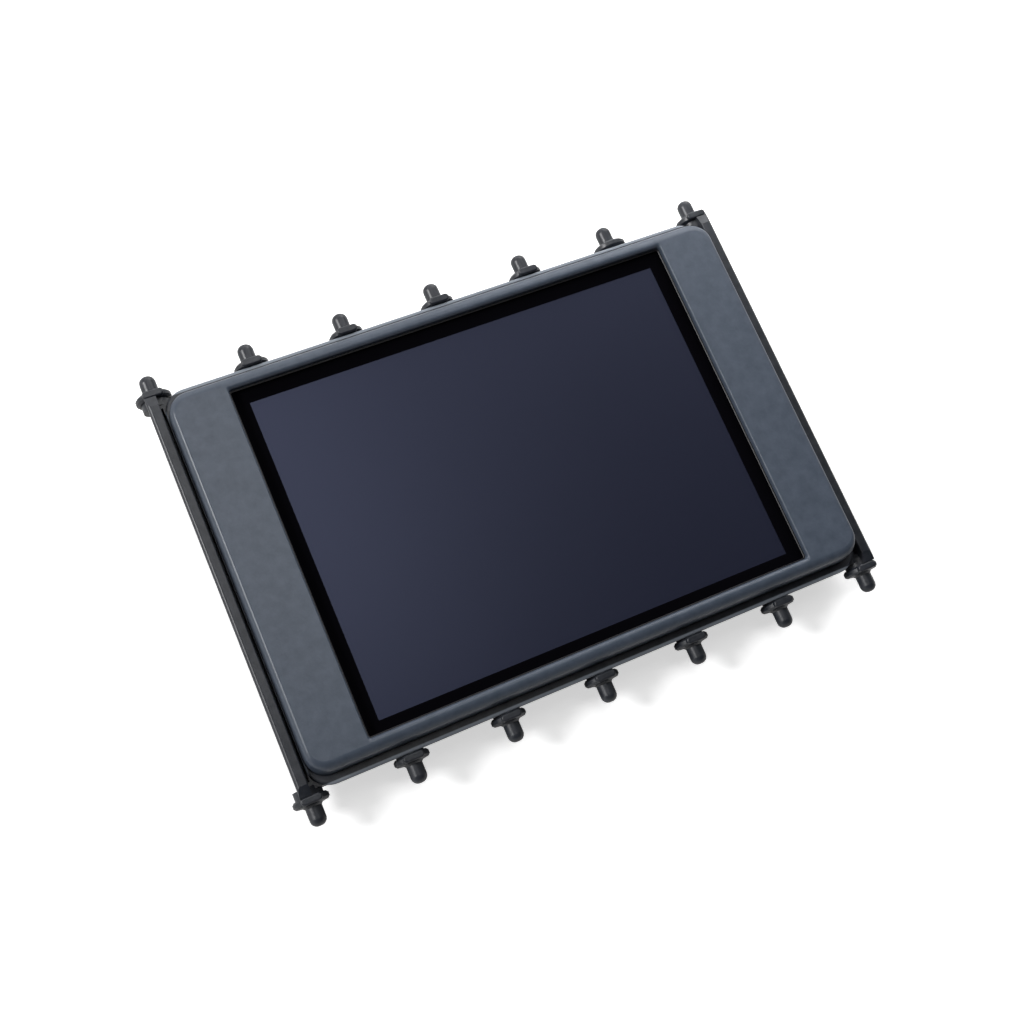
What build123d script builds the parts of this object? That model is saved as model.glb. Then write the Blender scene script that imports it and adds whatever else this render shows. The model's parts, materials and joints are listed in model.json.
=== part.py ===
from build123d import *
from math import cos, radians, sin
import os

# Car multifunction display, lying on its back with the screen up.
# X runs along the long edge, Y up the picture, Z out of the screen.
# The origin is the middle of the rear face, on the surface that the display lies on.

# Picture area and window
active_width = 101.6         # a 5-inch panel of 4:3 shape
active_height = 76.2
active_shift = -0.4          # the picture sits a little low in the window
border_x = 3.2               # black border beside the picture
border_y = 2.9
window_corner = 0.4
lip_width = 0.35             # step between the inner lip and the front opening
lip_thickness = 0.4
lip_bevel = 0.15
window_round_x = 0.4         # rounding of the window's front edge, on its short sides
window_round_y = 1.0         # and on its long sides
window_round_depth = 1.0
window_round_steps = 4

# Display cell, from the front
recess_depth = 2.2           # bezel's front face to the mask film
mask_thickness = 0.15
mask_margin = 0.3            # mask film hidden behind the window's lip
polariser_thickness = 0.2
front_polariser_margin = 1.2  # polariser inside the mask film's outline
rear_polariser_margin = 1.4   # polariser beyond the picture area
glass_thickness = 0.7
glass_margin_x = 2.8         # glass beyond the window
glass_margin_y = 0.9
glass_corner = 0.4
ledge_width = 3.2            # bare strip of the rear glass that carries the chips
chip_length = 24.0
chip_depth = 1.3
chip_thickness = 0.35
chip_spacing = 36.0

# Backlight
film_gap = 0.2
film_thickness = 0.25
guide_thickness = 3.0
stack_margin_x = 3.0         # films and light guide beyond the picture area
stack_margin_y = 1.5
stack_clearance = 0.2
tray_margin_x = 3.1          # tray beyond the glass, with room for the folded flex
tray_margin_y = 0.3
tray_corner = 1.2
tray_floor = 1.2
tray_wall = 1.4
led_count = 12
led_length = 3.4
led_depth = 1.4
led_height = 2.0
led_window = 0.5
strip_thickness = 0.6
strip_height = 2.8
strip_inset = 3.3            # light guide's corner to the end of the strip

# Panel frame and seal
sheet_thickness = 0.4
sheet_fit = 0.05
clip_width = 7.0
clip_height = 1.6
clip_depth = 0.3
clip_inset = 28.6            # tray's corner to the middle of a clip
seal_thickness = 0.35
seal_margin = 0.4            # the seal stands back from the lip's edge
seal_width = 3.6

# Bezel
bezel_corner = 5.0
bezel_wall = 1.6
cell_gap = 0.35              # panel frame to whatever stands beside it
post_inset = 0.9             # screw post to the bezel's inner wall
crown_rise = 2.1             # height of the rounding round the front face
crown_run_x = 1.3            # how far it reaches in from the short sides
crown_run_y = 2.2            # and from the long sides
crown_steps = 5
skirt_flare_x = 0.1          # how far the skirt leans out on each side
skirt_flare_y = 0.3
cavity_corner = 3.0

# Mounting frame
web_thickness = 1.5
wall_rise = 4.8              # the bezel's skirt rests on a wall this high above the web
wall_thickness_x = 2.0
wall_thickness_y = 1.7
rim_reach_x = 0.5            # rim round the bezel's foot, beyond the top of the skirt
rim_reach_y = 2.5
rim_fit = 0.1
rim_corner = 5.6
rim_thickness = 0.8
rim_round = 0.45
rim_overhang_x = 0.1         # that rim beyond the wall under it
rim_overhang_y = 0.9
slit_width = 0.6             # groove between a rail and the wall
rail_width = 2.8
rail_rise = 2.4              # rails above the wall
rail_lean = 0.8              # the rail's outside leans in towards its foot
rail_round_inner = 0.3
rail_round_outer = 0.9
rail_slope_run = 2.4         # slope from a rail's top down to its corner pegs
rail_slope_drop = 0.8
frame_corner = 1.0
ledge_depth_x = 2.2          # web under the tray's edge
ledge_depth_y = 2.0
web_opening_corner = 4.0

# Pegs
peg_count = 7                # on each long side
peg_inset = 2.4              # outside of a rail to the axis of its corner peg
peg_drop = 2.8               # top of the wall to the pegs' axis
peg_length = 6.5             # flange's inner face to the tip
neck_radius = 3.2
flange_gap = 0.15            # frame's rim to the flange
flange_radius = 4.1
flange_thickness = 1.7
flange_bevel = 0.45
cone_rise = 0.2
cone_radius = 2.3
pin_radius = 1.87
pin_blend = 0.4
tip_round = 1.6
saddle_width = 4.8           # raised block on top of each flange
saddle_rise = 0.3
saddle_corner = 0.75
saddle_round = 0.4

# Rear cover
pan_depth = 5.5              # rear face to the mounting frame
pan_draft = 1.2
pan_corner = 5.0
cover_floor = 1.4
cover_wall = 1.0
cover_flange = 1.1
flange_corner = 3.0
slot_count = 7
slot_length = 18.0
slot_width = 1.6
slot_pitch = 4.0
slot_inset_x = 23.4          # side of the pan to the middle of a bank of slots
slot_inset_y = 18.6
gusset_count = 5
gusset_thickness = 1.2
gusset_gap = 0.6

# Screws
screw_inset_y = 5.9          # bezel's inner wall to the corner screws
post_radius = 2.5
post_rib = 1.2
pilot_radius = 1.1
pilot_spare = 1.6            # pilot hole beyond the screw's tip
hole_clearance = 0.4
screw_radius = 1.05
screw_length = 9.0
screw_head_radius = 2.4
screw_head_height = 1.6
cross_width = 0.7
cross_depth = 0.9
board_screw_radius = 0.85
board_screw_length = 4.6
board_screw_spare = 0.8
board_screw_fit = 0.05
board_screw_head_radius = 1.8
board_screw_head_height = 1.3
boss_radius = 2.3

# Circuit board
board_margin_x = 3.4         # pan's mouth to the board's edge
board_margin_y = 3.6
board_lift = 0.1             # board above the top of the pan
board_corner = 2.0
board_thickness = 1.6
board_hole_inset = 5.0
part_room = 1.9              # board to the tray above it
socket_x = -14.0
socket_inset_y = 19.6        # pan's mouth to the middle of the socket
socket_length = 31.0
socket_depth = 9.8
socket_wall = 1.2
socket_base = 0.7
socket_recess = 0.3          # the mouth stands this far inside the rear face
socket_clearance = 0.5
key_length = 5.0
key_depth = 0.7
pin_count = 12
contact_pitch = 2.0
contact_width = 0.5
contact_offset = 2.2         # the row of contacts stands to one side of the socket
contact_recess = 1.0
contact_fit = 0.05
flex_width = 30.0
flex_thickness = 0.15
flex_bend = 0.6
flex_grip = 2.4
flex_height = 0.9            # upper face of both flexes above the board
flex_connector_depth = 4.6
flex_connector_height = 1.5
tail_width = 4.0
tail_connector_length = 7.0
tail_connector_depth = 3.6
controller_size = 14.0
controller_height = 1.4
controller_x = 18.0
controller_y = 2.0
memory_length = 18.0
memory_width = 10.0
memory_height = 1.1
memory_x = -14.0
memory_y = 4.0
lead_width = 0.4
lead_reach = 1.0
lead_height = 0.7
lead_thickness = 0.2
controller_leads = 12
memory_leads = 14
chip_bevel = 0.25
resistor_length = 1.6
resistor_width = 0.8
resistor_height = 0.5
resistor_count = 6
resistor_pitch = 3.0
inductor_size = 8.0
inductor_height = 3.4
inductor_corner = 1.5
inductor_inset_x = 22.0      # board's edge to the middle of the inductor
inductor_inset_y = 17.0
capacitor_radius = 2.5
capacitor_height = 3.5
capacitor_base = 0.7
capacitor_pitch = 8.0
capacitor_count = 3
capacitor_inset_x = 10.0     # board's edge to the row of capacitors
capacitor_y = -4.0

# Heights, from the rear face up
flange_bottom = pan_depth - cover_flange
web_bottom = pan_depth
web_top = web_bottom + web_thickness
board_bottom = pan_depth + board_lift
board_top = board_bottom + board_thickness
flex_level = board_top + flex_height
floor_bottom = board_top + part_room
floor_top = floor_bottom + tray_floor
guide_bottom = floor_top + film_thickness
guide_top = guide_bottom + guide_thickness
diffuser_top = guide_top + film_thickness
prism_top = diffuser_top + film_thickness
rear_polariser_bottom = prism_top + film_gap
rear_glass_bottom = rear_polariser_bottom + polariser_thickness
glass_joint = rear_glass_bottom + glass_thickness
front_glass_top = glass_joint + glass_thickness
mask_bottom = front_glass_top + polariser_thickness
mask_top = mask_bottom + mask_thickness
front_height = mask_top + recess_depth
plate_bottom = front_glass_top + sheet_thickness + seal_thickness
lip_top = plate_bottom + lip_thickness
crown_bottom = front_height - crown_rise
skirt_bottom = web_top + wall_rise
rim_top = skirt_bottom + rim_thickness
rail_top = skirt_bottom + rail_rise
peg_axis_height = skirt_bottom - peg_drop
saddle_top = peg_axis_height + flange_radius + saddle_rise
pilot_top = flange_bottom + screw_length + pilot_spare

# Outlines, from the picture area out
window_width = active_width + 2 * border_x
window_height = active_height + 2 * border_y
opening_width = window_width + 2 * lip_width
opening_height = window_height + 2 * lip_width
mask_width = window_width + 2 * mask_margin
mask_height = window_height + 2 * mask_margin
glass_width = window_width + 2 * glass_margin_x
glass_height = window_height + 2 * glass_margin_y
stack_width = active_width + 2 * stack_margin_x
stack_height = active_height + 2 * stack_margin_y
tray_width = glass_width + 2 * tray_margin_x
tray_height = glass_height + 2 * tray_margin_y
tray_edge = tray_width / 2
pocket_height = tray_height - 2 * tray_wall
sheet_wall = sheet_fit + sheet_thickness
cover_screw_x = tray_edge + sheet_wall + cell_gap + post_radius
cavity_width = 2 * (cover_screw_x + post_radius + post_inset)
cavity_height = tray_height + 2 * (sheet_wall + cell_gap)
cover_screw_y = cavity_height / 2 - screw_inset_y
bezel_width = cavity_width + 2 * bezel_wall
bezel_height = cavity_height + 2 * bezel_wall
foot_width = bezel_width + 2 * skirt_flare_x
foot_height = bezel_height + 2 * skirt_flare_y
rim_width = bezel_width + 2 * rim_reach_x
rim_height = bezel_height + 2 * rim_reach_y
wall_width = rim_width - 2 * rim_overhang_x
wall_depth = rim_height - 2 * rim_overhang_y
frame_width = wall_width + 2 * (slit_width + rail_width)
peg_pitch = (frame_width - 2 * peg_inset) / (peg_count - 1)
flange_start = rim_height / 2 + flange_gap
web_opening_width = tray_width - 2 * ledge_depth_x
web_opening_height = tray_height - 2 * ledge_depth_y
pan_width = web_opening_width + 2 * cover_wall
pan_height = web_opening_height + 2 * cover_wall
board_width = web_opening_width - 2 * board_margin_x
board_height = web_opening_height - 2 * board_margin_y
socket_y = socket_inset_y - web_opening_height / 2

# Backlight's lit edge, along the bottom of the picture
strip_length = stack_width - 2 * strip_inset
led_pitch = strip_length / led_count
strip_back = -pocket_height / 2
strip_face = strip_back + strip_thickness
led_face = strip_face + led_depth
stack_shift = led_face + film_gap + stack_height / 2
clip_spacing = tray_width - 2 * clip_inset
flex_run = tray_edge - flex_thickness - sheet_fit


def block(width, depth, corner, bottom, top, x=0, y=0):
    """Upright prism on a rectangle with rounded corners."""
    outline = RectangleRounded(width, depth, corner) if corner else Rectangle(width, depth)
    return Pos(x, y, bottom) * extrude(outline, amount=top - bottom)


def cylinder_up(radius, bottom, top, x=0, y=0):
    return Pos(x, y, bottom) * extrude(Circle(radius), amount=top - bottom)


def band(sections, ruled=False):
    """Loft through rounded rectangles, each given as width, depth, corner and height."""
    return loft([Pos(0, 0, z) * RectangleRounded(w, d, r) for w, d, r, z in sections], ruled=ruled)


def mirrored(places_x, places_y):
    return [(x, y) for x in (-places_x, places_x) for y in (-places_y, places_y)]


cover_screw_places = mirrored(cover_screw_x, cover_screw_y) + [(-cover_screw_x, 0), (cover_screw_x, 0)]
board_screw_places = mirrored(board_width / 2 - board_hole_inset, board_height / 2 - board_hole_inset)


def bezel_outside():
    """Leaning skirt and rounded crown, stacked as lofts."""
    skirt = [(foot_width, foot_height, bezel_corner, skirt_bottom),
             (bezel_width, bezel_height, bezel_corner, crown_bottom)]
    crown = []
    for step in range(crown_steps + 1):
        turn = radians(90 * step / crown_steps)
        inset_x = crown_run_x * (1 - cos(turn))
        inset_y = crown_run_y * (1 - cos(turn))
        corner = bezel_corner - (inset_x + inset_y) / 2
        height = crown_bottom + crown_rise * sin(turn)
        crown.append((bezel_width - 2 * inset_x, bezel_height - 2 * inset_y, corner, height))
    return band(skirt, ruled=True) + band(crown)


def window_opening():
    """Space in front of the lip, opening out to the front face in a rounding."""
    start = front_height - window_round_depth
    corner = window_corner + lip_width
    rounding = []
    for step in range(window_round_steps + 1):
        turn = radians(90 * step / window_round_steps)
        reach_x = 2 * window_round_x * (1 - cos(turn))
        reach_y = 2 * window_round_y * (1 - cos(turn))
        height = start + window_round_depth * sin(turn)
        rounding.append((opening_width + reach_x, opening_height + reach_y, corner, height))
    return block(opening_width, opening_height, corner, lip_top, start) + band(rounding)


def front_bezel():
    shell = bezel_outside()
    shell -= block(cavity_width, cavity_height, cavity_corner, skirt_bottom, plate_bottom)
    shell -= window_opening()
    shell -= block(window_width, window_height, window_corner, plate_bottom, lip_top)
    lip_edges = [e for e in shell.edges().filter_by_position(Axis.Z, lip_top, lip_top)
                 if abs(e.center().X) <= window_width / 2 + 0.01
                 and abs(e.center().Y) <= window_height / 2 + 0.01]
    shell = chamfer(lip_edges, lip_bevel)
    for x, y in cover_screw_places:
        side = 1 if x > 0 else -1
        rib_end = cavity_width / 2 + 0.2
        rib_middle = side * (abs(x) + rib_end) / 2
        shell += cylinder_up(post_radius, web_top, plate_bottom, x, y)
        shell += block(rib_end - abs(x), post_rib, 0, skirt_bottom, plate_bottom, rib_middle, y)
        shell -= cylinder_up(pilot_radius, web_top, pilot_top, x, y)
    return shell


def peg():
    """One peg, standing on its own axis: neck, flange and round-ended pin, by turning a profile."""
    neck_start = wall_depth / 2 - flange_start - wall_thickness_y / 2
    cone_end = flange_thickness + cone_rise
    outline = Polyline(
        (0, neck_start),
        (neck_radius, neck_start),
        (neck_radius, 0),
        (flange_radius - flange_bevel, 0),
        (flange_radius, flange_bevel),
        (flange_radius, flange_thickness - flange_bevel),
        (flange_radius - flange_bevel, flange_thickness),
        (cone_radius, cone_end),
        (pin_radius, cone_end + pin_blend),
        (pin_radius, peg_length),
        (0, peg_length),
        close=True,
    )
    turned = revolve(Plane.XZ * make_face(outline), Axis.Z)
    tip_edge = turned.edges().filter_by(GeomType.CIRCLE).sort_by(Axis.Z)[-1]
    return fillet(tip_edge, tip_round)


def rail():
    """Right-hand rail: a bead that leans in at its foot, run between two flanges and sloped off at its ends."""
    outer = frame_width / 2
    inner = outer - rail_width
    outline = Polyline(
        (inner, web_bottom),
        (outer - rail_lean, web_bottom),
        (outer, rail_top),
        (inner, rail_top),
        close=True,
    )
    section = make_face(outline)
    section = fillet(section.vertices().sort_by_distance((outer, rail_top))[0], rail_round_outer)
    section = fillet(section.vertices().sort_by_distance((inner, rail_top))[0], rail_round_inner)
    bead = extrude(Plane.XZ * section, amount=flange_start, both=True)
    for side in (-1, 1):
        end = side * flange_start
        slope = Polyline(
            (end - side * rail_slope_run, rail_top),
            (end, rail_top),
            (end, rail_top - rail_slope_drop),
            close=True,
        )
        bead -= extrude(Plane.YZ * make_face(slope), amount=outer)
    return bead


def frame_rim():
    """Lip that stands round the bezel's foot, on top of the wall."""
    rim = block(rim_width, rim_height, rim_corner, skirt_bottom, rim_top)
    rim = fillet(rim.faces().sort_by(Axis.Z)[-1].edges(), rim_round)
    return rim - block(foot_width + 2 * rim_fit, foot_height + 2 * rim_fit, bezel_corner, skirt_bottom, rim_top)


def mounting_frame():
    """Web, wall, rim, two rails and two rows of pegs, moulded as one."""
    frame = block(frame_width - 2 * rail_lean, wall_depth, frame_corner, web_bottom, web_top)
    wall = block(wall_width, wall_depth, frame_corner, web_bottom, skirt_bottom)
    end_bridges = block(frame_width - 2 * rail_lean, wall_depth, frame_corner, web_bottom, skirt_bottom)
    inside_depth = wall_depth - 2 * wall_thickness_y
    end_bridges -= block(frame_width, inside_depth, 0, web_bottom, skirt_bottom)
    inside_width = wall_width - 2 * wall_thickness_x
    frame += wall + end_bridges
    frame -= block(inside_width, inside_depth, frame_corner, web_top, skirt_bottom)
    frame -= block(web_opening_width, web_opening_height, web_opening_corner, web_bottom, web_top)
    frame += frame_rim()
    right_rail = rail()
    frame += right_rail + Rot(0, 0, 180) * right_rail
    for x, y in cover_screw_places:
        frame -= cylinder_up(screw_radius + hole_clearance, web_bottom, web_top, x, y)
    one_peg = peg()
    saddle = block(saddle_width, flange_thickness, saddle_corner, peg_axis_height, saddle_top)
    saddle = fillet(saddle.faces().sort_by(Axis.Z)[-1].edges(), saddle_round)
    for side in (-1, 1):
        for number in range(peg_count):
            x = peg_pitch * (number - (peg_count - 1) / 2)
            turned = Rot(-90 * side, 0, 0) * one_peg
            frame += Pos(x, side * flange_start, peg_axis_height) * turned
            frame += Pos(x, side * (flange_start + flange_thickness / 2), 0) * saddle
    return frame


def dust_seal():
    bottom = front_glass_top + sheet_thickness
    inner_width = window_width + 2 * seal_margin
    inner_height = window_height + 2 * seal_margin
    seal = block(inner_width + 2 * seal_width, tray_height, tray_corner, bottom, plate_bottom)
    return seal - block(inner_width, inner_height, window_corner, bottom, plate_bottom)


def mask_film():
    film = block(mask_width, mask_height, window_corner, mask_bottom, mask_top)
    return film - block(active_width, active_height, 0, mask_bottom, mask_top, y=active_shift)


def front_polariser():
    width = mask_width - 2 * front_polariser_margin
    height = mask_height - 2 * front_polariser_margin
    return block(width, height, glass_corner, front_glass_top, mask_bottom)


def front_glass():
    width = glass_width - ledge_width
    return block(width, glass_height, glass_corner, glass_joint, front_glass_top, x=-ledge_width / 2)


def rear_glass():
    return block(glass_width, glass_height, glass_corner, rear_glass_bottom, glass_joint)


def rear_polariser():
    width = active_width + 2 * rear_polariser_margin
    height = active_height + 2 * rear_polariser_margin
    return block(width, height, glass_corner, rear_polariser_bottom, rear_glass_bottom, y=active_shift)


def driver_chips():
    """Two long chips bonded side by side on the rear glass's ledge."""
    x = glass_width / 2 - ledge_width / 2 - chip_depth / 2
    return Compound([
        block(chip_depth, chip_length, 0, glass_joint, glass_joint + chip_thickness, x, y)
        for y in (-chip_spacing / 2, chip_spacing / 2)
    ])


def bent_sheet(points, bend, width):
    """Thin sheet on the left of a bent line in the XZ plane, as wide as stated along Y."""
    line = FilletPolyline(*points, radius=bend)
    strip = offset(line, flex_thickness, side=Side.LEFT)
    sheet = extrude(Plane.XZ * make_face(strip.edges()), amount=width)
    return Pos(0, width / 2, 0) * sheet


def panel_flex():
    """From the ledge, over the tray's edge and back under it to the board's connector."""
    start = glass_width / 2 - ledge_width / 4
    end = board_width / 2 - flex_grip
    points = [(start, glass_joint), (flex_run, glass_joint), (flex_run, flex_level), (end, flex_level)]
    return bent_sheet(points, flex_bend, flex_width)


def flex_connector():
    right = board_width / 2 - flex_grip / 2
    left = right - flex_connector_depth
    body = block(right - left, flex_width + 3, 0, board_top, board_top + flex_connector_height,
                 (left + right) / 2)
    slot_bottom = flex_level - flex_thickness
    mouth = block(flex_grip / 2, flex_width, 0, slot_bottom, slot_bottom + flex_thickness,
                  right - flex_grip / 4)
    return body - mouth


def panel_frame():
    """Pressed sheet: a flat ring over the glass and a wall down round the tray, with clip windows."""
    bottom = floor_bottom
    top = front_glass_top + sheet_thickness
    inner_width = tray_width + 2 * sheet_fit
    inner_height = tray_height + 2 * sheet_fit
    outer_width = inner_width + 2 * sheet_thickness
    outer_height = inner_height + 2 * sheet_thickness
    frame = block(outer_width, outer_height, tray_corner + sheet_thickness, bottom, top)
    frame -= block(inner_width, inner_height, tray_corner, bottom, front_glass_top)
    opening_width = mask_width + 2 * stack_clearance
    opening_height = mask_height + 2 * stack_clearance
    frame -= block(opening_width, opening_height, window_corner, front_glass_top, top)
    for x in (-clip_spacing / 2, clip_spacing / 2):
        frame -= block(clip_width, 2 * outer_height, 0, guide_bottom, guide_bottom + clip_height, x)
    return frame


def prism_film():
    return block(stack_width, stack_height, glass_corner, diffuser_top, prism_top, y=stack_shift)


def diffuser_film():
    return block(stack_width, stack_height, glass_corner, guide_top, diffuser_top, y=stack_shift)


def light_guide():
    """Clear plate with shallow hollows in its lit edge, one in front of each light."""
    plate = block(stack_width, stack_height, glass_corner, guide_bottom, guide_top, y=stack_shift)
    edge = stack_shift - stack_height / 2
    for x in led_places():
        plate -= block(led_length, led_window, 0, guide_bottom, guide_top, x, edge)
    return plate


def reflector_sheet():
    return block(stack_width, stack_height, glass_corner, floor_top, guide_bottom, y=stack_shift)


def led_places():
    return [led_pitch * (number - (led_count - 1) / 2) for number in range(led_count)]


def led_strip():
    middle = (strip_back + strip_face) / 2
    return block(strip_length, strip_thickness, 0, guide_bottom, guide_bottom + strip_height, y=middle)


def backlight_leds():
    """Row of side-lit packages, each with a hollow in its face."""
    bottom = guide_bottom + (strip_height - led_height) / 2
    wall = led_window
    packages = []
    for x in led_places():
        package = block(led_length, led_depth, 0, bottom, bottom + led_height, x, strip_face + led_depth / 2)
        hollow = block(led_length - 2 * wall, led_window, 0, bottom + wall, bottom + led_height - wall,
                       x, led_face - led_window / 2)
        packages.append(package - hollow)
    return Compound(packages)


def backlight_flex():
    """Narrow tail from the strip, down through the tray's floor to its connector."""
    end = -board_height / 2 + tail_connector_depth / 2
    under = flex_level - flex_thickness
    points = [(strip_face, guide_bottom + strip_height), (strip_face, under), (end, under)]
    return Rot(0, 0, 90) * bent_sheet(points, flex_bend, tail_width)


def backlight_connector():
    edge = -board_height / 2
    body = block(tail_connector_length, tail_connector_depth, 0, board_top,
                 board_top + flex_connector_height, y=edge + tail_connector_depth / 2)
    slot_bottom = flex_level - flex_thickness
    mouth = block(tail_width, tail_connector_depth / 2, 0, slot_bottom, slot_bottom + flex_thickness,
                  y=edge + tail_connector_depth / 4)
    return body - mouth


def backlight_tray():
    """Moulded tray: a deep pocket for the stack above, a hollow below, and passages for the flexes."""
    tray = block(tray_width, tray_height, tray_corner, web_top, rear_glass_bottom)
    pocket_width = stack_width + 2 * stack_clearance
    tray -= block(pocket_width, pocket_height, glass_corner, floor_top, rear_glass_bottom)
    hollow_width = tray_width - 2 * tray_wall
    tray -= block(hollow_width, pocket_height, glass_corner, web_top, floor_bottom)
    groove = 2 * flex_thickness + 2 * sheet_fit
    tray -= block(2 * groove, flex_width + 2, 0, web_top, rear_glass_bottom, tray_edge)
    tray -= block(4 * tray_wall, flex_width + 2, 0, web_top, floor_bottom, tray_edge)
    slot_depth = led_depth
    tray -= block(tail_width + 1, slot_depth, 0, floor_bottom, floor_top, y=strip_face + slot_depth / 2)
    for x in (-clip_spacing / 2, clip_spacing / 2):
        for side in (-1, 1):
            clip = Pos(x, side * tray_height / 2, guide_bottom) * Box(
                clip_width - 1, 2 * clip_depth, clip_height - sheet_fit,
                align=(Align.CENTER, Align.CENTER, Align.MIN))
            outer = clip.edges().filter_by(Axis.X).sort_by(Axis.Y)
            lower = sorted(outer, key=lambda e: (-side * e.center().Y, e.center().Z))[0]
            tray += chamfer(lower, clip_depth * 0.9)
    return tray


def driver_board():
    board = block(board_width, board_height, board_corner, board_bottom, board_top)
    for x, y in board_screw_places:
        board -= cylinder_up(board_screw_radius + hole_clearance, board_bottom, board_top, x, y)
    return board


def lead(reach):
    """Gull-wing lead, from the package's side down to the board, pointing along +X."""
    line = Polyline((0, lead_height), (reach / 2, lead_height), (reach / 2, 0), (reach, 0))
    strip = offset(line, lead_thickness, side=Side.LEFT, kind=Kind.INTERSECTION)
    return Pos(0, lead_width / 2, 0) * extrude(Plane.XZ * make_face(strip.edges()), amount=lead_width)


def package(length, width, height, sides, leads):
    """Chip package with bevelled top and leads on the named sides."""
    body = Box(length, width, height - lead_thickness, align=(Align.CENTER, Align.CENTER, Align.MIN))
    body = Pos(0, 0, lead_thickness) * chamfer(body.faces().sort_by(Axis.Z)[-1].edges(), chip_bevel)
    one_lead = lead(lead_reach)
    for angle in sides:
        half = length / 2 if angle % 180 == 0 else width / 2
        span = (width if angle % 180 == 0 else length) - 2 * lead_reach
        for number in range(leads):
            along = span * (number / (leads - 1) - 0.5)
            body += Rot(0, 0, angle) * Pos(half, along, 0) * one_lead
    return body


def controller_chip():
    chip = package(controller_size, controller_size, controller_height, (0, 90, 180, 270), controller_leads)
    return Pos(controller_x, controller_y, board_top) * chip


def memory_chip():
    chip = package(memory_length, memory_width, memory_height, (90, 270), memory_leads)
    return Pos(memory_x, memory_y, board_top) * chip


def chip_resistors():
    """Two rows of small parts between the two chips and above them."""
    row = controller_y + controller_size / 2 + 4 * lead_reach
    return Compound([
        block(resistor_length, resistor_width, 0, board_top, board_top + resistor_height,
              controller_x + resistor_pitch * (number - (resistor_count - 1) / 2), y)
        for number in range(resistor_count) for y in (row, row + 2 * resistor_width)
    ])


def power_inductor():
    """Moulded core with a round winding window, hanging under the board."""
    bottom = board_bottom - inductor_height
    core = block(inductor_size, inductor_size, inductor_corner, bottom, board_bottom)
    core -= cylinder_up(inductor_size / 3, bottom, bottom + inductor_height / 6)
    return Pos(board_width / 2 - inductor_inset_x, inductor_inset_y - board_height / 2, 0) * core


def filter_capacitors():
    """Round cans on square bases, hanging under the board."""
    base = 2 * capacitor_radius + capacitor_base / 2
    can = cylinder_up(capacitor_radius, board_bottom - capacitor_height, board_bottom)
    can = fillet(can.faces().sort_by(Axis.Z)[0].edges(), capacitor_base / 2)
    can += block(base, base, capacitor_base, board_bottom - capacitor_base, board_bottom)
    x = capacitor_inset_x - board_width / 2
    return Compound([
        Pos(x, capacitor_y + capacitor_pitch * (number - (capacitor_count - 1) / 2), 0) * can
        for number in range(capacitor_count)
    ])


def contact_places():
    row = socket_y - contact_offset
    return [(socket_x + contact_pitch * (number - (pin_count - 1) / 2), row) for number in range(pin_count)]


def harness_socket():
    """Open-mouthed shroud under the board, with a key groove and one row of contacts."""
    roof = board_bottom - socket_base
    shroud = block(socket_length, socket_depth, socket_wall / 2, socket_recess, board_bottom,
                   socket_x, socket_y)
    shroud -= block(socket_length - 2 * socket_wall, socket_depth - 2 * socket_wall, 0, socket_recess,
                    roof, socket_x, socket_y)
    key_y = socket_y + socket_depth / 2 - socket_wall + key_depth / 2
    shroud -= block(key_length, key_depth, 0, socket_recess, roof, socket_x, key_y)
    hole = contact_width + 2 * contact_fit
    for x, y in contact_places():
        shroud -= block(hole, hole, 0, roof, board_bottom, x, y)
    return shroud


def socket_pins():
    return Compound([
        block(contact_width, contact_width, 0, socket_recess + contact_recess, board_bottom, x, y)
        for x, y in contact_places()
    ])


def cross_recess(height):
    """Cross-shaped driver recess that opens downwards at the given height."""
    arm = 4 * cross_width
    return block(arm, cross_width, 0, height, height + cross_depth) + \
        block(cross_width, arm, 0, height, height + cross_depth)


def cover_screws():
    """Six screws, driven from behind through the cover and the mounting frame."""
    head = cylinder_up(screw_head_radius, flange_bottom - screw_head_height, flange_bottom)
    head = fillet(head.faces().sort_by(Axis.Z)[0].edges(), screw_head_height / 2)
    head -= cross_recess(flange_bottom - screw_head_height)
    screw = head + cylinder_up(screw_radius, flange_bottom, flange_bottom + screw_length)
    return Compound([Pos(x, y, 0) * screw for x, y in cover_screw_places])


def board_screws():
    """Four screws, driven from the front into the rear cover's bosses."""
    head_top = board_top + board_screw_head_height
    head = cylinder_up(board_screw_head_radius, board_top, head_top)
    head = chamfer(head.faces().sort_by(Axis.Z)[-1].edges(), chip_bevel)
    head -= cross_recess(head_top - cross_depth / 2)
    screw = head + cylinder_up(board_screw_radius, board_top - board_screw_length, board_top)
    return Compound([Pos(x, y, 0) * screw for x, y in board_screw_places])


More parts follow.
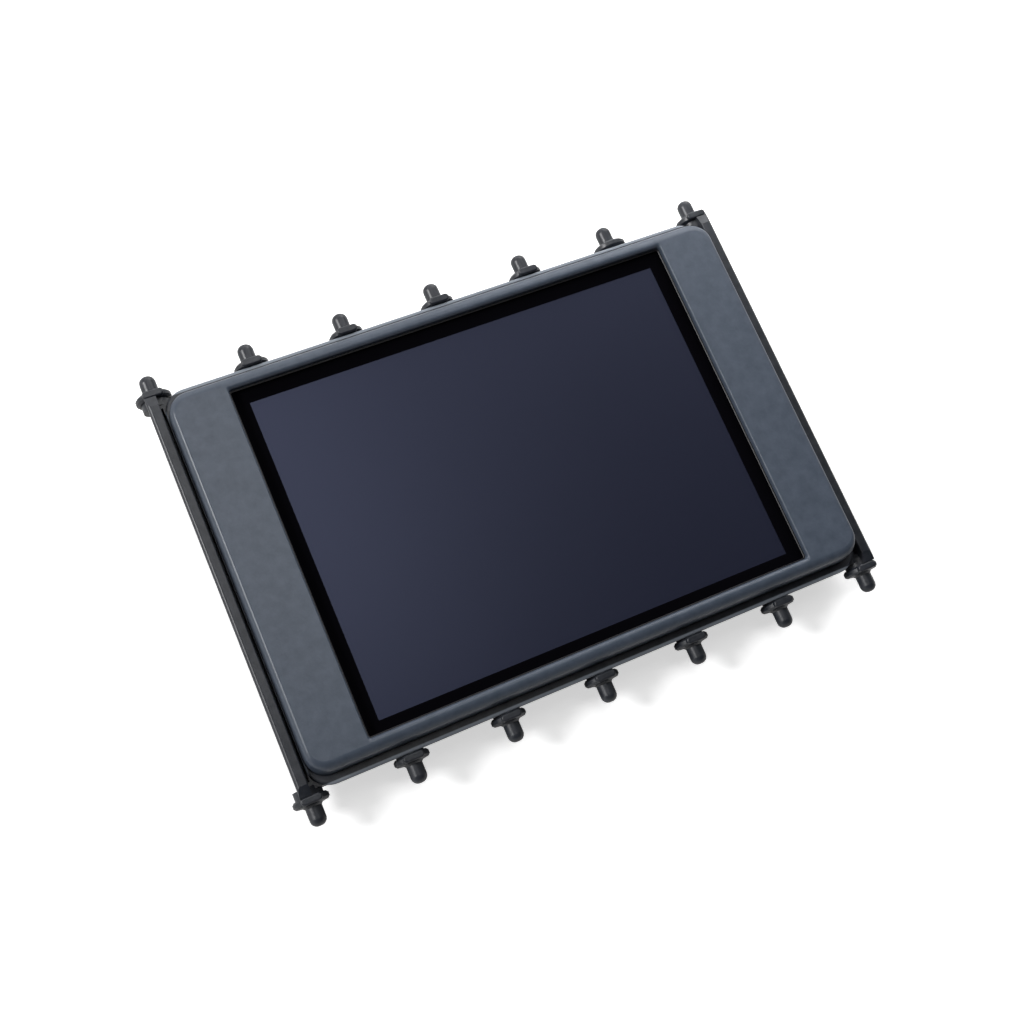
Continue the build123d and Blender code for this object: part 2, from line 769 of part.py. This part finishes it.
def rear_cover():
    """Moulded pan with leaning walls, a flange, board bosses, vents and gussets."""
    outer = [(pan_width - 2 * pan_draft, pan_height - 2 * pan_draft, pan_corner, 0),
             (pan_width, pan_height, pan_corner, flange_bottom)]
    inner = [(web_opening_width - 2 * pan_draft, web_opening_height - 2 * pan_draft,
              web_opening_corner, cover_floor),
             (web_opening_width, web_opening_height, web_opening_corner, web_bottom)]
    cover = band(outer, ruled=True)
    cover += block(bezel_width, bezel_height, flange_corner, flange_bottom, web_bottom)
    cover += gussets()
    cover -= band(inner, ruled=True)
    for x, y in board_screw_places:
        cover += cylinder_up(boss_radius, cover_floor / 2, board_bottom, x, y)
        pilot_bottom = board_top - board_screw_length - board_screw_spare
        cover -= cylinder_up(board_screw_radius + board_screw_fit, pilot_bottom, board_bottom, x, y)
    for x, y in cover_screw_places:
        cover -= cylinder_up(screw_radius + hole_clearance, flange_bottom, web_bottom, x, y)
    for side in (-1, 1):
        for number in range(slot_count):
            bank_x = side * (web_opening_width / 2 - slot_inset_x)
            x = bank_x + slot_pitch * (number - (slot_count - 1) / 2)
            y = web_opening_height / 2 - slot_inset_y
            slot = Pos(x, y, 0) * SlotOverall(slot_length, slot_width, rotation=90)
            cover -= extrude(slot, amount=cover_floor)
    gap = 2 * socket_clearance
    cover -= block(socket_length + gap, socket_depth + gap, socket_wall, 0, cover_floor, socket_x, socket_y)
    return cover


def gusset(pan_half, flange_half, plane):
    """Small web between the pan's wall and the underside of its flange."""
    root = pan_half - pan_draft
    outline = Polyline(
        (root, gusset_gap),
        (pan_half, gusset_gap),
        (flange_half - gusset_gap, flange_bottom),
        (root, flange_bottom),
        close=True,
    )
    return extrude(plane * make_face(outline), amount=gusset_thickness / 2, both=True)


def gussets():
    """A row of gussets on each long side and a pair on each short side."""
    long_side = gusset(pan_height / 2, bezel_height / 2, Plane.YZ)
    short_side = gusset(pan_width / 2, bezel_width / 2, Plane.XZ)
    webs = []
    for number in range(gusset_count):
        x = pan_width / gusset_count * (number - (gusset_count - 1) / 2)
        webs += [Pos(x, 0, 0) * long_side, Pos(x, 0, 0) * Rot(0, 0, 180) * long_side]
    for y in (-cover_screw_y / 2, cover_screw_y / 2):
        webs += [Pos(0, y, 0) * short_side, Pos(0, y, 0) * Rot(0, 0, 180) * short_side]
    return webs


pieces = {
    "front_bezel": front_bezel,
    "dust_seal": dust_seal,
    "mounting_frame": mounting_frame,
    "mask_film": mask_film,
    "front_polariser": front_polariser,
    "front_glass": front_glass,
    "rear_glass": rear_glass,
    "rear_polariser": rear_polariser,
    "driver_chips": driver_chips,
    "panel_flex": panel_flex,
    "panel_frame": panel_frame,
    "prism_film": prism_film,
    "diffuser_film": diffuser_film,
    "light_guide": light_guide,
    "reflector_sheet": reflector_sheet,
    "backlight_tray": backlight_tray,
    "led_strip": led_strip,
    "backlight_leds": backlight_leds,
    "backlight_flex": backlight_flex,
    "driver_board": driver_board,
    "controller_chip": controller_chip,
    "memory_chip": memory_chip,
    "chip_resistors": chip_resistors,
    "flex_connector": flex_connector,
    "backlight_connector": backlight_connector,
    "power_inductor": power_inductor,
    "filter_capacitors": filter_capacitors,
    "harness_socket": harness_socket,
    "socket_pins": socket_pins,
    "rear_cover": rear_cover,
    "cover_screws": cover_screws,
    "board_screws": board_screws,
}

os.makedirs("parts", exist_ok=True)
for name, make in pieces.items():
    export_step(make(), f"parts/{name}.step")
    print(name)
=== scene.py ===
import json
import math
import bpy
from mathutils import Euler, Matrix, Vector

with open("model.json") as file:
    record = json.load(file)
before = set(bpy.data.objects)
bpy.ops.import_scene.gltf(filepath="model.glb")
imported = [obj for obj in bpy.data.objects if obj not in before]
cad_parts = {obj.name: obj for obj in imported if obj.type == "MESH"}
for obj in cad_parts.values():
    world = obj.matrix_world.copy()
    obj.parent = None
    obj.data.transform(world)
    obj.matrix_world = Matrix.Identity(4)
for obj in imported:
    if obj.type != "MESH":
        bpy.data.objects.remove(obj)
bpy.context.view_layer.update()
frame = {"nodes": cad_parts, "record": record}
cadNodes = frame["nodes"]
print("frame loaded:", len(cadNodes), "nodes")

# Camera, at the photograph's viewing angle
cameraValues = {
    "place": (-0.08872, -0.06548, 0.31629),
    "turn": (16.005, -9.944, -23.618),  # degrees about X, Y and Z
    "lens": 49.54,
    "sensor": 36,
    "near": 0.01,
}


def addCamera():
    data = bpy.data.cameras.new("camera")
    data.lens = cameraValues["lens"]
    data.sensor_width = cameraValues["sensor"]
    data.clip_start = cameraValues["near"]
    camera = bpy.data.objects.new("camera", data)
    camera.location = cameraValues["place"]
    camera.rotation_euler = Euler([math.radians(angle) for angle in cameraValues["turn"]], "XYZ")
    bpy.context.scene.collection.objects.link(camera)
    bpy.context.scene.camera = camera


addCamera()
print("camera placed")

# Materials: every finish is two near colours mixed by a grain, and two carry a box of painted light in another colour:
# painted shade on the bezel, a painted highlight on the frame
grainValues = {
    "fineDetail": 3,
    "broadDetail": 4,
    "fineShare": 0.3,    # how much the fine grain adds to the broad drift in the tint
    "tintLow": 0.35,     # tint at which the first colour is pure
    "tintHigh": 0.95,    # and the second
}


def makeGroup(name, inputs, outputs):
    group = bpy.data.node_groups.new(name, "ShaderNodeTree")
    for label, value in inputs:
        group.interface.new_socket(label, in_out="INPUT", socket_type="NodeSocketFloat").default_value = value
    for label, kind in outputs:
        group.interface.new_socket(label, in_out="OUTPUT", socket_type=kind)
    return group, group.nodes.new("NodeGroupInput"), group.nodes.new("NodeGroupOutput")


def makeGrain():
    # Moulded surface: fine grain for the bump, and a broad slow drift for the tint
    inputs = [("Grain Scale", 1500.0), ("Drift Scale", 30.0), ("Bump", 0.2), ("Depth", 0.00005)]
    outputs = [("Tint", "NodeSocketFloat"), ("Normal", "NodeSocketVector")]
    group, entry, leave = makeGroup("mouldedGrain", inputs, outputs)
    nodes, links = group.nodes, group.links
    place = nodes.new("ShaderNodeTexCoord")
    fine = nodes.new("ShaderNodeTexNoise")
    fine.inputs["Detail"].default_value = grainValues["fineDetail"]
    broad = nodes.new("ShaderNodeTexNoise")
    broad.inputs["Detail"].default_value = grainValues["broadDetail"]
    bump = nodes.new("ShaderNodeBump")
    blend = nodes.new("ShaderNodeMath")
    blend.operation = "MULTIPLY_ADD"
    blend.inputs[1].default_value = grainValues["fineShare"]
    links.new(place.outputs["Object"], fine.inputs["Vector"])
    links.new(place.outputs["Object"], broad.inputs["Vector"])
    links.new(entry.outputs["Grain Scale"], fine.inputs["Scale"])
    links.new(entry.outputs["Drift Scale"], broad.inputs["Scale"])
    links.new(fine.outputs["Fac"], bump.inputs["Height"])
    links.new(entry.outputs["Bump"], bump.inputs["Strength"])
    links.new(entry.outputs["Depth"], bump.inputs["Distance"])
    links.new(fine.outputs["Fac"], blend.inputs[0])
    links.new(broad.outputs["Fac"], blend.inputs[2])
    links.new(blend.outputs[0], leave.inputs["Tint"])
    links.new(bump.outputs["Normal"], leave.inputs["Normal"])
    return group


grainGroup = makeGrain()


def makeZone():
    # 1 inside an upright box round the origin, given by half its length and width and two heights, soft at its edges
    inputs = [("Half X", 0.05), ("Half Y", 0.04), ("Low Z", 0.0), ("High Z", 0.02), ("Soft", 0.0001)]
    group, entry, leave = makeGroup("zoneMask", inputs, [("Mask", "NodeSocketFloat")])
    nodes, links = group.nodes, group.links
    place = nodes.new("ShaderNodeTexCoord")
    split = nodes.new("ShaderNodeSeparateXYZ")
    links.new(place.outputs["Object"], split.inputs["Vector"])

    def below(distance, limit):
        # 1 up to the limit less the soft edge, falling smoothly to 0 at the limit
        start = nodes.new("ShaderNodeMath")
        start.operation = "SUBTRACT"
        fall = nodes.new("ShaderNodeMapRange")
        fall.interpolation_type = "SMOOTHSTEP"
        fall.inputs["To Min"].default_value = 1
        fall.inputs["To Max"].default_value = 0
        links.new(limit, start.inputs[0])
        links.new(entry.outputs["Soft"], start.inputs[1])
        links.new(start.outputs[0], fall.inputs["From Min"])
        links.new(limit, fall.inputs["From Max"])
        links.new(distance, fall.inputs["Value"])
        return fall.outputs["Result"]

    def size(axis):
        node = nodes.new("ShaderNodeMath")
        node.operation = "ABSOLUTE"
        links.new(split.outputs[axis], node.inputs[0])
        return node.outputs[0]

    def times(first, second):
        node = nodes.new("ShaderNodeMath")
        node.operation = "MULTIPLY"
        links.new(first, node.inputs[0])
        links.new(second, node.inputs[1])
        return node.outputs[0]

    across = times(below(size("X"), entry.outputs["Half X"]), below(size("Y"), entry.outputs["Half Y"]))
    tall = times(below(split.outputs["Z"], entry.outputs["High Z"]), below(entry.outputs["Low Z"], split.outputs["Z"]))
    links.new(times(across, tall), leave.inputs["Mask"])
    return group


zoneGroup = makeZone()


def addZone(nodes, box):
    node = nodes.new("ShaderNodeGroup")
    node.node_tree = zoneGroup
    for label, value in box.items():
        node.inputs[label].default_value = value
    return node.outputs["Mask"]


def makeMaterial(name, look):
    material = bpy.data.materials.new(name)
    material.use_nodes = True
    nodes, links = material.node_tree.nodes, material.node_tree.links
    shader = nodes["Principled BSDF"]
    grain = nodes.new("ShaderNodeGroup")
    grain.node_tree = grainGroup
    grain.inputs["Grain Scale"].default_value = look.get("grain", 1500)
    grain.inputs["Drift Scale"].default_value = look.get("drift", 30)
    grain.inputs["Bump"].default_value = look.get("bump", 0.2)
    ramp = nodes.new("ShaderNodeMapRange")
    ramp.inputs["From Min"].default_value = grainValues["tintLow"]
    ramp.inputs["From Max"].default_value = grainValues["tintHigh"]
    mix = nodes.new("ShaderNodeMix")
    mix.data_type = "RGBA"
    mix.inputs["A"].default_value = (*look["low"], 1)
    mix.inputs["B"].default_value = (*look["high"], 1)
    links.new(grain.outputs["Tint"], ramp.inputs["Value"])
    links.new(ramp.outputs["Result"], mix.inputs["Factor"])
    colour = mix.outputs["Result"]
    if "paintedLightZone" in look:
        # painted light laid on as another colour inside a box, left out where a smaller box is hollow
        paintedLightMask = addZone(nodes, look["paintedLightZone"])
        if "hollow" in look:
            cut = nodes.new("ShaderNodeMath")
            cut.operation = "SUBTRACT"
            cut.use_clamp = True
            links.new(paintedLightMask, cut.inputs[0])
            links.new(addZone(nodes, look["hollow"]), cut.inputs[1])
            paintedLightMask = cut.outputs[0]
        paintedLightMix = nodes.new("ShaderNodeMix")
        paintedLightMix.data_type = "RGBA"
        paintedLightMix.inputs["B"].default_value = (*look["paintedLightColour"], 1)
        links.new(paintedLightMask, paintedLightMix.inputs["Factor"])
        links.new(colour, paintedLightMix.inputs["A"])
        colour = paintedLightMix.outputs["Result"]
    links.new(colour, shader.inputs["Base Color"])
    links.new(grain.outputs["Normal"], shader.inputs["Normal"])
    shader.inputs["Roughness"].default_value = look.get("roughness", 0.5)
    shader.inputs["Metallic"].default_value = look.get("metallic", 0)
    shader.inputs["Specular IOR Level"].default_value = look.get("specular", 0.5)
    shader.inputs["Specular Tint"].default_value = (*look.get("sheen", (1, 1, 1)), 1)
    shader.inputs["Transmission Weight"].default_value = look.get("clear", 0)
    return material


# Moulded pieces: the bezel carries painted shade, near black on the inner lip of its window; the frame carries a
# painted highlight, a pale band along the outer edge of its rim
mouldedLooks = {
    "bezel": {
        "low": (0.042, 0.055, 0.077), "high": (0.066, 0.082, 0.112), "roughness": 0.38, "bump": 0.4, "drift": 420,
        # painted shade: near black over the window's inner lip, from the floor up to the lip's height
        "paintedLightZone": {"Half X": 0.0545, "Half Y": 0.0415, "Low Z": 0.0, "High Z": 0.01712, "Soft": 0.00005},
        "paintedLightColour": (0.003, 0.003, 0.005),
    },
    "rubber_frame": {
        "low": (0.006, 0.0085, 0.0135), "high": (0.031, 0.034, 0.042), "roughness": 0.37, "bump": 0.4, "drift": 420,
        # painted highlight: a pale band on the rim's top at its outer edge, with the inside left out
        "paintedLightZone": {"Half X": 0.0686, "Half Y": 0.0472, "Low Z": 0.0121, "High Z": 0.0130, "Soft": 0.00015},
        "hollow": {"Half X": 0.0684, "Half Y": 0.0465, "Low Z": 0.0, "High Z": 0.02, "Soft": 0.0003},
        "paintedLightColour": (0.20, 0.225, 0.26),
    },
    "cover": {"low": (0.014, 0.015, 0.018), "high": (0.026, 0.028, 0.033), "bump": 0.35, "grain": 1100},
    "white_plastic": {"low": (0.72, 0.72, 0.7), "high": (0.82, 0.82, 0.8)},
    "socket": {"low": (0.012, 0.012, 0.014), "high": (0.022, 0.022, 0.025), "roughness": 0.45},
    "foam": {"low": (0.01, 0.01, 0.011), "high": (0.025, 0.025, 0.027), "roughness": 0.95, "grain": 2500, "bump": 0.6},
}
# Display cell and backlight
opticalLooks = {
    "black_border": {"low": (0.0006, 0.0005, 0.0012), "high": (0.001, 0.0009, 0.0018), "roughness": 0.9,
                     "specular": 0.03, "bump": 0.0},
    "screen": {"low": (0.008, 0.009, 0.018), "high": (0.009, 0.010, 0.020), "roughness": 0.34, "bump": 0.03,
               "sheen": (0.58, 0.65, 1.0)},
    "glass": {"low": (0.75, 0.8, 0.8), "high": (0.8, 0.85, 0.85), "roughness": 0.05, "clear": 1, "bump": 0},
    "clear_plastic": {"low": (0.85, 0.9, 0.9), "high": (0.9, 0.93, 0.94), "roughness": 0.08, "clear": 0.8, "bump": 0},
    "film": {"low": (0.8, 0.82, 0.83), "high": (0.88, 0.89, 0.9), "roughness": 0.35, "bump": 0.02},
    "led": {"low": (0.8, 0.62, 0.15), "high": (0.9, 0.74, 0.25), "roughness": 0.4},
}
# Circuits and metal
circuitLooks = {
    "board": {"low": (0.010, 0.085, 0.035), "high": (0.02, 0.13, 0.055), "roughness": 0.3, "bump": 0.08},
    "flex": {"low": (0.42, 0.16, 0.03), "high": (0.6, 0.26, 0.06), "roughness": 0.3, "bump": 0.05},
    "chip": {"low": (0.012, 0.012, 0.014), "high": (0.03, 0.03, 0.032), "roughness": 0.55},
    "resistor": {"low": (0.05, 0.05, 0.055), "high": (0.12, 0.12, 0.125)},
    "inductor": {"low": (0.03, 0.03, 0.033), "high": (0.08, 0.08, 0.085), "roughness": 0.6},
    "connector": {"low": (0.55, 0.5, 0.38), "high": (0.68, 0.62, 0.48), "roughness": 0.45},
    "capacitor": {"low": (0.55, 0.56, 0.58), "high": (0.7, 0.7, 0.72), "roughness": 0.28, "metallic": 1, "bump": 0.05},
    "contact": {"low": (0.75, 0.55, 0.22), "high": (0.85, 0.66, 0.3), "roughness": 0.25, "metallic": 1, "bump": 0.02},
    "screw": {"low": (0.42, 0.42, 0.44), "high": (0.58, 0.58, 0.6), "roughness": 0.3, "metallic": 1, "bump": 0.05},
    "pressed_steel": {"low": (0.5, 0.5, 0.5), "high": (0.65, 0.65, 0.64), "roughness": 0.32, "metallic": 1,
                      "bump": 0.05},
}

materials = {}
for looks in (mouldedLooks, opticalLooks, circuitLooks):
    for name, look in looks.items():
        materials[name] = makeMaterial(name, look)
for part in frame["record"]["subparts"]:
    mesh = cadNodes[part["node"]].data
    mesh.materials.clear()
    mesh.materials.append(materials[part["material_slot"]])
print("materials:", len(materials))

# Floor, backdrop and lights
studioValues = {
    "floorSize": 6.0,
    "floorDrop": 0.0002,         # the floor lies just under the object
    "floorColour": (0.9, 0.9, 0.9),
    "floorGlow": 0.58,           # seen by the camera alone, so that the floor comes out white
    "bounceColour": (0.25, 0.25, 0.25),
    "skyLight": 0.03,
    "horizonLight": 0.56,        # pale band that reflections see
    "horizonHeights": (0.12, 0.42),
}
# azimuth and height in degrees, angle of the disc, strength
suns = {
    "key": (158.0, 38.5, 14.0, 1.95),
    "fill": (40.0, 38.0, 30.0, 0.58),
}
# place of the middle, width, height, power, and whether reflections show it; each is aimed at the display
panels = {
    "overMid": ((-0.02, 0.20, 0.60), 0.16, 0.40, 0.62, True),
    "overRight": ((0.14, 0.22, 0.60), 0.16, 0.40, 0.12, True),
    "behind": ((-0.05, 0.60, 0.30), 0.60, 0.30, 1.15, True),
    "behindRight": ((0.32, 0.50, 0.22), 0.30, 0.20, 0.75, True),
    "leftLow": ((-0.50, 0.05, 0.20), 0.40, 0.20, 0.30, True),
    "leftHigh": ((-0.45, 0.10, 0.45), 0.30, 0.30, 0.18, True),
    "front": ((0.00, -0.55, 0.25), 0.50, 0.20, 0.10, True),
    "wash": ((0.13, 0.13, 0.10), 0.06, 0.06, 0.14, False),
}


def addFloor():
    # The eye and mirrors see a pale floor that keeps its shadows, what it throws back on the object is dim
    half = studioValues["floorSize"] / 2
    mesh = bpy.data.meshes.new("floor")
    mesh.from_pydata([(-half, -half, 0), (half, -half, 0), (half, half, 0), (-half, half, 0)], [], [(0, 1, 2, 3)])
    floor = bpy.data.objects.new("floor", mesh)
    floor.location.z = -studioValues["floorDrop"]
    bpy.context.scene.collection.objects.link(floor)
    material = bpy.data.materials.new("floor")
    material.use_nodes = True
    nodes, links = material.node_tree.nodes, material.node_tree.links
    nodes.remove(nodes["Principled BSDF"])
    dull = nodes.new("ShaderNodeBsdfDiffuse")
    dull.inputs["Color"].default_value = (*studioValues["bounceColour"], 1)
    pale = nodes.new("ShaderNodeBsdfDiffuse")
    pale.inputs["Color"].default_value = (*studioValues["floorColour"], 1)
    path = nodes.new("ShaderNodeLightPath")
    seen = nodes.new("ShaderNodeMath")
    seen.operation = "MAXIMUM"
    mix = nodes.new("ShaderNodeMixShader")
    level = nodes.new("ShaderNodeMath")
    level.operation = "MULTIPLY"
    level.inputs[1].default_value = studioValues["floorGlow"]
    glow = nodes.new("ShaderNodeEmission")
    both = nodes.new("ShaderNodeAddShader")
    links.new(path.outputs["Is Camera Ray"], seen.inputs[0])
    links.new(path.outputs["Is Glossy Ray"], seen.inputs[1])
    links.new(seen.outputs[0], mix.inputs["Fac"])
    links.new(dull.outputs[0], mix.inputs[1])
    links.new(pale.outputs[0], mix.inputs[2])
    links.new(path.outputs["Is Camera Ray"], level.inputs[0])
    links.new(level.outputs[0], glow.inputs["Strength"])
    links.new(mix.outputs["Shader"], both.inputs[0])
    links.new(glow.outputs[0], both.inputs[1])
    links.new(both.outputs[0], nodes["Material Output"].inputs["Surface"])
    mesh.materials.append(material)


def addWorld():
    # White for the eye, pale round the horizon for mirrors, and a dim sky elsewhere
    world = bpy.data.worlds.new("world")
    world.use_nodes = True
    nodes, links = world.node_tree.nodes, world.node_tree.links
    plain = nodes["Background"]
    plain.inputs["Color"].default_value = (1, 1, 1, 1)
    plain.inputs["Strength"].default_value = studioValues["skyLight"]
    white = nodes.new("ShaderNodeBackground")
    white.inputs["Color"].default_value = (1, 1, 1, 1)
    white.inputs["Strength"].default_value = 1
    direction = nodes.new("ShaderNodeTexCoord")
    split = nodes.new("ShaderNodeSeparateXYZ")
    fall = nodes.new("ShaderNodeMapRange")
    fall.interpolation_type = "SMOOTHSTEP"
    fall.inputs["From Min"].default_value, fall.inputs["From Max"].default_value = studioValues["horizonHeights"]
    fall.inputs["To Min"].default_value = studioValues["horizonLight"]
    fall.inputs["To Max"].default_value = 0
    path = nodes.new("ShaderNodeLightPath")
    gloss = nodes.new("ShaderNodeMath")
    gloss.operation = "MULTIPLY"
    seen = nodes.new("ShaderNodeMath")
    seen.operation = "MAXIMUM"
    mix = nodes.new("ShaderNodeMixShader")
    links.new(direction.outputs["Generated"], split.inputs["Vector"])
    links.new(split.outputs["Z"], fall.inputs["Value"])
    links.new(fall.outputs["Result"], gloss.inputs[0])
    links.new(path.outputs["Is Glossy Ray"], gloss.inputs[1])
    links.new(path.outputs["Is Camera Ray"], seen.inputs[0])
    links.new(gloss.outputs[0], seen.inputs[1])
    links.new(seen.outputs[0], mix.inputs["Fac"])
    links.new(plain.outputs[0], mix.inputs[1])
    links.new(white.outputs[0], mix.inputs[2])
    links.new(mix.outputs["Shader"], nodes["World Output"].inputs["Surface"])
    bpy.context.scene.world = world


def placeLight(name, data, place):
    # Every light looks at the middle of the display
    light = bpy.data.objects.new(name, data)
    light.location = place
    light.rotation_euler = (-place).to_track_quat("-Z", "Y").to_euler()
    bpy.context.scene.collection.objects.link(light)
    return light


def addSun(name, azimuth, height, angle, strength):
    data = bpy.data.lights.new(name, "SUN")
    data.angle = math.radians(angle)
    data.energy = strength
    turn, rise = math.radians(azimuth), math.radians(height)
    flat = math.cos(rise)
    placeLight(name, data, Vector((math.cos(turn) * flat, math.sin(turn) * flat, math.sin(rise))))


def addPanel(name, place, width, height, power, mirrored):
    data = bpy.data.lights.new(name, "AREA")
    data.shape = "RECTANGLE"
    data.size = width
    data.size_y = height
    data.energy = power
    placeLight(name, data, Vector(place)).visible_glossy = mirrored


addFloor()
addWorld()
for name, values in suns.items():
    addSun(name, *values)
for name, values in panels.items():
    addPanel(name, *values)
bpy.context.scene.view_settings.view_transform = "Standard"
print("studio ready")
